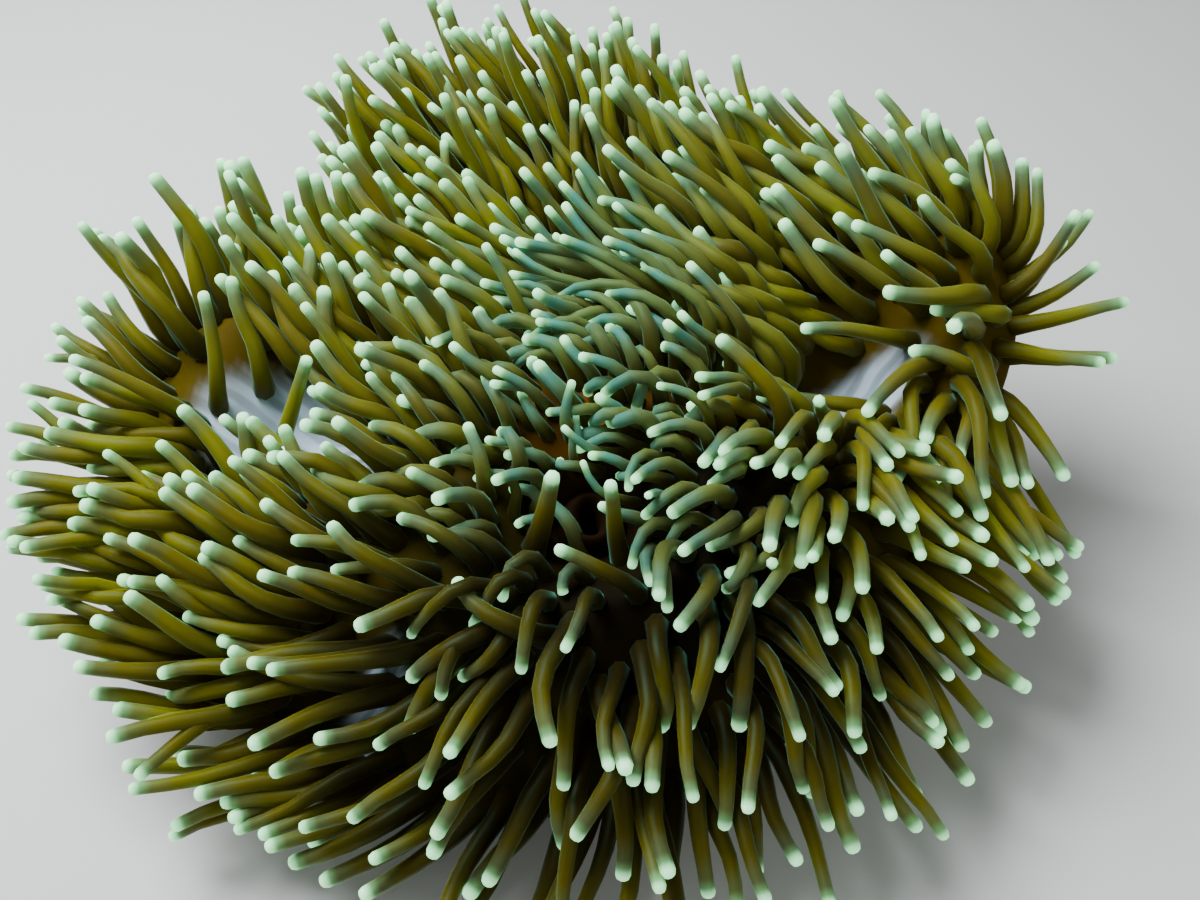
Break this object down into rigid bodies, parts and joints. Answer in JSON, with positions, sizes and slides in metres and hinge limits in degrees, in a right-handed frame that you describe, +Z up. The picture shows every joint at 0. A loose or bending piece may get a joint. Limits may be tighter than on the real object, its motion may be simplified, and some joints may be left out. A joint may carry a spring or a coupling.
{
  "type": "sea anemone",
  "caption": "Open sea anemone with a flat round foot, a short flaring column and a wide wavy disc crowded with finger-shaped, pale-tipped tentacles round a small mouth.",
  "frame": {"origin": "middle of the foot's flat sole, on the floor", "axes": "+Z up, away from the sole; -Y is the animal's low front, where the disc's edge droops, and +Y its raised back; +X is its right when it is seen from the front"},
  "size_m": [0.5241, 0.4597, 0.2103],
  "materials": {
    "tentacle_flesh": "wet, soft, slightly see-through olive brown flesh with pale green-white tentacle tips",
    "column_flesh": "wet, smooth, warm brown skin",
    "foot_flesh": "wet, smooth, pale brown skin",
    "mouth_flesh": "wet, soft, puffed lips"
  },
  "bodies": {
    "root": {"pedal_disc": "foot_flesh", "column_lower": "column_flesh", "column_upper": "column_flesh", "mouth": "mouth_flesh", "disc_right": "tentacle_flesh", "disc_back": "tentacle_flesh", "disc_left": "tentacle_flesh", "disc_front": "tentacle_flesh", "lobe_right": "tentacle_flesh", "lobe_right_back": "tentacle_flesh", "lobe_back": "tentacle_flesh", "lobe_left_back": "tentacle_flesh", "lobe_left": "tentacle_flesh", "lobe_left_low": "tentacle_flesh", "lobe_front": "tentacle_flesh", "lobe_front_right": "tentacle_flesh"}
  },
  "joints": []
}
